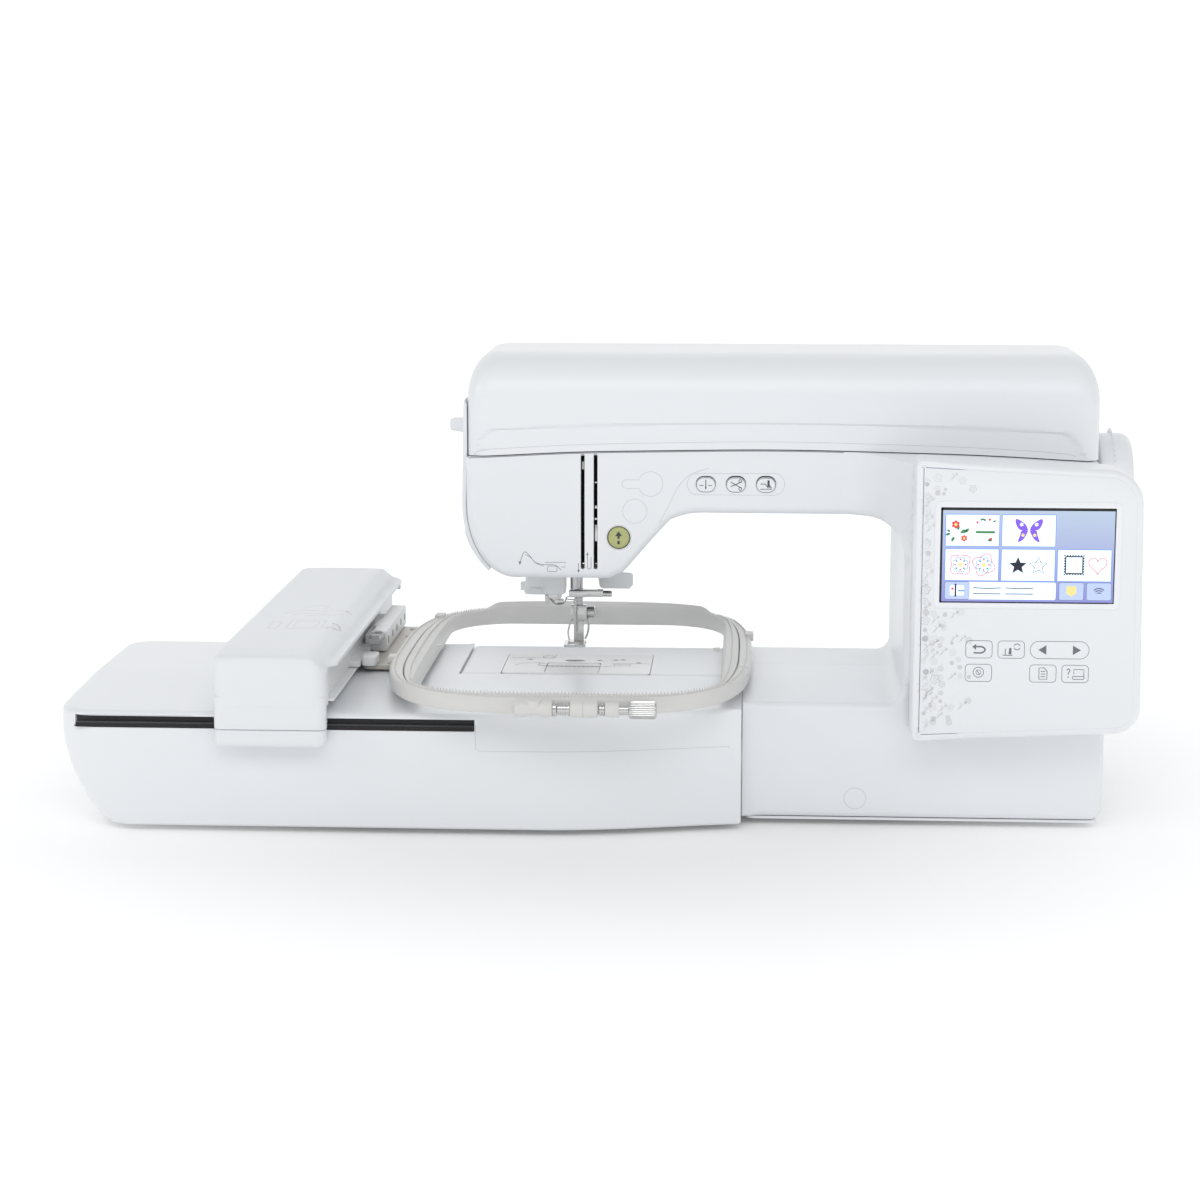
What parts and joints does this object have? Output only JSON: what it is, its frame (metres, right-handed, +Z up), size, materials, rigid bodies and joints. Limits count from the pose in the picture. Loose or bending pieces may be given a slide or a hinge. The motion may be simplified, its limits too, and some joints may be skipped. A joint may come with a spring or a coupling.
{
  "type": "embroidery machine",
  "caption": "Household embroidery machine with a lit touch panel, an embroidery unit on its left whose arm moves a clamped hoop under the needle, and a hinged top lid.",
  "frame": {"origin": "middle of the whole machine's footprint, on the table", "axes": "+X to the right along the arm, +Y to the back, +Z up"},
  "size_m": [0.698, 0.3704, 0.2995],
  "materials": {
    "white_casing": "smooth cool white",
    "printed_fascia": "white with a grey floral print",
    "light_grey_plastic": "satin",
    "hoop_plastic": "fine ribbed warm grey",
    "brush_black": "bristle",
    "black_plastic": "moulded",
    "rubber": "matt",
    "satin_steel": "satin",
    "bright_steel": "polished nickel",
    "die_casting": "as cast",
    "motor_paint": "dark grey",
    "screen_glass": "lit screen",
    "clear_plastic": "clear"
  },
  "bodies": {
    "machine": {"front_cover": "white_casing", "rear_cover": "white_casing", "base_front_cover": "white_casing", "face_cover": "white_casing", "free_arm_cover": "white_casing", "bottom_plate": "white_casing", "needle_plate": "satin_steel", "bobbin_cover": "clear_plastic", "cast_frame": "die_casting", "panel_housing": "white_casing", "panel_fascia": "printed_fascia", "lcd_screen": "screen_glass", "threader_hood": "light_grey_plastic", "thread_cutter": "light_grey_plastic", "led_lamp": "clear_plastic", "motor": "motor_paint", "power_inlet": "black_plastic", "drive_belt": "black_plastic", "spool_pin": "white_casing", "foot_front_left": "rubber", "foot_front_right": "rubber", "foot_back_left": "rubber", "foot_back_right": "rubber", "unit_foot_front": "rubber", "unit_foot_back": "rubber", "unit_lower_casing": "white_casing", "unit_top_cover": "white_casing", "unit_x_rail": "satin_steel", "slot_brush": "brush_black", "bobbin_case": "black_plastic"},
    "lid": {"lid": "white_casing"},
    "drive": {"handwheel": "white_casing", "main_shaft": "satin_steel"},
    "motor_rotor": {"motor_pulley": "satin_steel"},
    "lower_drive": {"lower_shaft": "satin_steel"},
    "hook": {"hook": "satin_steel"},
    "needle_bar": {"needle_bar": "satin_steel", "needle_clamp": "bright_steel", "needle": "bright_steel"},
    "take_up": {"take_up_lever": "bright_steel"},
    "presser": {"presser_bar": "satin_steel", "presser_foot": "bright_steel"},
    "presser_lever": {"presser_lever": "light_grey_plastic"},
    "threader": {"threader_lever": "white_casing"},
    "start_stop": {"start_stop_button": "light_grey_plastic"},
    "needle_button": {"needle_button": "white_casing"},
    "cutter_button": {"cutter_button": "white_casing"},
    "foot_button": {"foot_button": "white_casing"},
    "power_switch": {"power_switch": "black_plastic"},
    "arm": {"arm_cover": "white_casing", "arm_base": "white_casing", "arm_y_rail": "satin_steel"},
    "holder": {"holder_carriage": "light_grey_plastic", "hoop_bracket": "satin_steel", "hoop_outer_ring": "hoop_plastic", "hoop_inner_ring": "hoop_plastic", "hoop_clamp": "hoop_plastic"},
    "frame_lever": {"frame_lever": "light_grey_plastic"},
    "hoop_screw": {"hoop_screw": "bright_steel"},
    "bobbin_winder": {"bobbin_winder": "satin_steel"}
  },
  "joints": [
    {"name": "lid_hinge", "type": "hinge", "parent": "machine", "child": "lid", "pos_m": [0.1155, 0.07725, 0.2366], "axis": [-1, 0, 0], "range_deg": [0, 95]},
    {"name": "handwheel_turn", "type": "hinge", "parent": "machine", "child": "drive", "pos_m": [0.325, 0.01525, 0.212], "axis": [1, 0, 0], "continuous": true},
    {"name": "motor_spin", "type": "hinge", "parent": "machine", "child": "motor_rotor", "pos_m": [0.3065, 0.03525, 0.1], "axis": [1, 0, 0], "continuous": true},
    {"name": "lower_shaft_turn", "type": "hinge", "parent": "machine", "child": "lower_drive", "pos_m": [-0.0195, -0.00375, 0.046], "axis": [1, 0, 0], "continuous": true},
    {"name": "hook_turn", "type": "hinge", "parent": "machine", "child": "hook", "pos_m": [-0.0245, -0.00375, 0.06], "axis": [0, 0, 1], "continuous": true},
    {"name": "needle_bar_slide", "type": "slide", "parent": "machine", "child": "needle_bar", "axis": [0, 0, 1], "range_m": [-0.03, 0.001]},
    {"name": "take_up_swing", "type": "hinge", "parent": "machine", "child": "take_up", "pos_m": [-0.0153, 0.00525, 0.205], "axis": [1, 0, 0], "range_deg": [-2, 36]},
    {"name": "presser_lever_turn", "type": "hinge", "parent": "machine", "child": "presser_lever", "pos_m": [-0.0135, 0.03825, 0.158], "axis": [0, 1, 0], "range_deg": [0, 40]},
    {"name": "presser_slide", "type": "slide", "parent": "machine", "child": "presser", "axis": [0, 0, 1], "range_m": [-0.0101, 0]},
    {"name": "threader_slide", "type": "slide", "parent": "machine", "child": "threader", "axis": [0, 0, -1], "range_m": [0, 0.045], "stiffness_N_per_m": 40},
    {"name": "start_stop_press", "type": "slide", "parent": "machine", "child": "start_stop", "axis": [0, 1, 0], "range_m": [0, 0.0015], "stiffness_N_per_m": 300},
    {"name": "needle_button_press", "type": "slide", "parent": "machine", "child": "needle_button", "axis": [0, 1, 0], "range_m": [0, 0.0015], "stiffness_N_per_m": 300},
    {"name": "cutter_button_press", "type": "slide", "parent": "machine", "child": "cutter_button", "axis": [0, 1, 0], "range_m": [0, 0.0015], "stiffness_N_per_m": 300},
    {"name": "foot_button_press", "type": "slide", "parent": "machine", "child": "foot_button", "axis": [0, 1, 0], "range_m": [0, 0.0015], "stiffness_N_per_m": 300},
    {"name": "power_switch_rock", "type": "hinge", "parent": "machine", "child": "power_switch", "pos_m": [0.3205, 0.03925, 0.0605], "axis": [0, 1, 0], "range_deg": [0, 10]},
    {"name": "bobbin_winder_slide", "type": "slide", "parent": "machine", "child": "bobbin_winder", "axis": [1, 0, 0], "range_m": [0, 0.008]},
    {"name": "arm_x_slide", "type": "slide", "parent": "machine", "child": "arm", "axis": [1, 0, 0], "range_m": [-0.0775, 0.0705]},
    {"name": "holder_y_slide", "type": "slide", "parent": "arm", "child": "holder", "axis": [0, 1, 0], "range_m": [-0.0945, 0.151]},
    {"name": "frame_lever_turn", "type": "hinge", "parent": "holder", "child": "frame_lever", "pos_m": [-0.1595, 0.00925, 0.102], "axis": [0, 0, 1], "range_deg": [0, 70]},
    {"name": "hoop_screw_turn", "type": "hinge", "parent": "holder", "child": "hoop_screw", "pos_m": [0.0215, -0.17975, 0.0925], "axis": [1, 0, 0], "continuous": true}
  ],
  "couplings": [
    {"joint": "motor_spin", "follows": "handwheel_turn", "ratio": 2.25},
    {"joint": "lower_shaft_turn", "follows": "handwheel_turn", "ratio": 1},
    {"joint": "hook_turn", "follows": "handwheel_turn", "ratio": 2},
    {"joint": "take_up_swing", "follows": "needle_bar_slide", "rad_per_m": -20.36},
    {"joint": "presser_slide", "follows": "presser_lever_turn", "m_per_rad": -0.01432}
  ]
}
